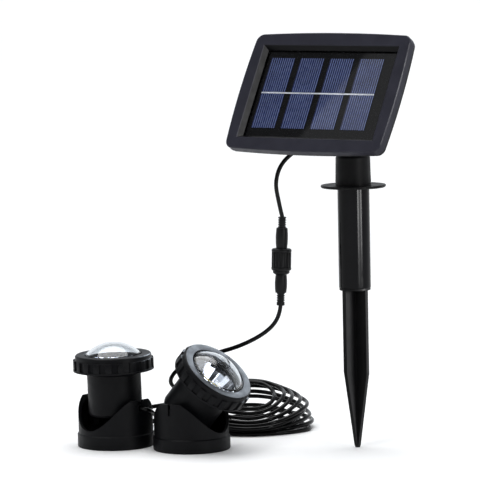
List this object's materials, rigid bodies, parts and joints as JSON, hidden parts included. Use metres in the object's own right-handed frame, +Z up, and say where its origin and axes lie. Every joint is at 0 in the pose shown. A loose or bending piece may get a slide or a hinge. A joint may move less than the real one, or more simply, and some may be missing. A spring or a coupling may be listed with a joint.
{
  "type": "underwater pond light",
  "caption": "Solar underwater pond light set: tilting panel on a ground stake, lead with screwed connector and loose coil, and pivoting spotlights with domed lenses.",
  "frame": {"origin": "the point of the ground spike, on the stake's axis, level with the underside of both lamp bases", "axes": "+Z up along the stake; X to the right and Y away from the front; the panel and the lamps face the front, -Y"},
  "size_m": [0.2825, 0.2366, 0.3381],
  "materials": {
    "stake_plastic": "fine matte black",
    "tube_plastic": "polished black",
    "lamp_plastic": "fine spark-textured black",
    "clear_lens": "clear, polished",
    "seal_rubber": "matte",
    "reflector_chrome": "faceted mirror",
    "board_white": "white solder mask",
    "led_phosphor": "yellow phosphor",
    "potting_resin": "poured resin",
    "bezel_plastic": "satin blue-black",
    "cover_glass": "clear resin cover",
    "cell_silicon": "blue crystalline with fine fingers",
    "tinned_ribbon": "tinned",
    "cell_backing": "black laminate",
    "housing_plastic": "fine-textured black",
    "screw_steel": "zinc plated",
    "battery_wrap": "printed sleeve, plain green",
    "contact_brass": "plated",
    "circuit_green": "green solder mask",
    "switch_plastic": "moulded",
    "button_rubber": "silicone",
    "knob_plastic": "moulded",
    "connector_rubber": "satin overmould",
    "nut_plastic": "moulded",
    "cable_rubber": "glossy jacket"
  },
  "bodies": {
    "root": {"ground_spike": "stake_plastic", "stake_tube": "tube_plastic", "post_head": "stake_plastic", "lead_gland": "cable_rubber", "left_pivot_base": "lamp_plastic", "right_pivot_base": "lamp_plastic", "plug_body": "connector_rubber", "plug_pins": "contact_brass", "connector_seal": "seal_rubber", "socket_body": "connector_rubber", "upper_lead": "cable_rubber", "trunk_lead": "cable_rubber", "cable_coil": "cable_rubber", "splitter_feed": "cable_rubber", "cable_splitter": "connector_rubber", "left_lamp_lead": "cable_rubber", "right_lamp_lead": "cable_rubber"},
    "panel": {"panel_bezel": "bezel_plastic", "panel_cover": "cover_glass", "solar_cells": "cell_silicon", "cell_ribbon": "tinned_ribbon", "cell_board": "cell_backing", "panel_housing": "housing_plastic", "housing_gasket": "seal_rubber", "housing_screws": "screw_steel", "battery_door": "housing_plastic", "door_gasket": "seal_rubber", "door_screws": "screw_steel", "batteries": "battery_wrap", "battery_contacts": "contact_brass", "control_board": "circuit_green", "power_switch": "switch_plastic", "tilt_nut": "screw_steel"},
    "tilt_knob": {"tilt_bolt": "screw_steel", "clamp_knob": "knob_plastic"},
    "button": {"power_button": "button_rubber"},
    "coupling": {"coupling_nut": "nut_plastic"},
    "left_head": {"left_lamp_body": "lamp_plastic", "left_dome_lens": "clear_lens", "left_lens_seal": "seal_rubber", "left_reflector": "reflector_chrome", "left_led_board": "board_white", "left_led_chips": "led_phosphor", "left_potting": "potting_resin", "left_lead_grommet": "seal_rubber"},
    "left_ring": {"left_lens_ring": "lamp_plastic"},
    "right_head": {"right_lamp_body": "lamp_plastic", "right_dome_lens": "clear_lens", "right_lens_seal": "seal_rubber", "right_reflector": "reflector_chrome", "right_led_board": "board_white", "right_led_chips": "led_phosphor", "right_potting": "potting_resin", "right_lead_grommet": "seal_rubber"},
    "right_ring": {"right_lens_ring": "lamp_plastic"}
  },
  "joints": [
    {"name": "panel_tilt", "type": "hinge", "parent": "root", "child": "panel", "pos_m": [0, 0, 0.2737], "axis": [-0.8192, 0.5736, 0], "range_deg": [-24, 59]},
    {"name": "tilt_knob_turn", "type": "hinge", "parent": "panel", "child": "tilt_knob", "pos_m": [0, 0, 0.2737], "axis": [0.8192, -0.5736, 0], "range_deg": [-360, 0]},
    {"name": "button_press", "type": "slide", "parent": "panel", "child": "button", "axis": [-0.4947, -0.7065, 0.506], "range_m": [0, 0.0012], "stiffness_N_per_m": 400},
    {"name": "left_lamp_tilt", "type": "hinge", "parent": "root", "child": "left_head", "pos_m": [-0.1986, 0.036, 0.0335], "axis": [0.7009, -0.7133, 0], "range_deg": [-4, 72]},
    {"name": "left_ring_turn", "type": "hinge", "parent": "left_head", "child": "left_ring", "pos_m": [-0.1986, 0.036, 0.0335], "axis": [-0.0199, -0.0196, 0.9996], "range_deg": [0, 90]},
    {"name": "right_lamp_tilt", "type": "hinge", "parent": "root", "child": "right_head", "pos_m": [-0.1356, 0.0107, 0.0335], "axis": [0.5736, 0.8192, 0], "range_deg": [-41, 33.8]},
    {"name": "right_ring_turn", "type": "hinge", "parent": "right_head", "child": "right_ring", "pos_m": [-0.1356, 0.0107, 0.0335], "axis": [0.5396, -0.3778, 0.7524], "range_deg": [0, 90]},
    {"name": "coupling_nut_turn", "type": "hinge", "parent": "root", "child": "coupling", "pos_m": [-0.0591, 0.022, 0.15302], "axis": [0.0371, 0, 0.9993], "range_deg": [0, 360]}
  ]
}
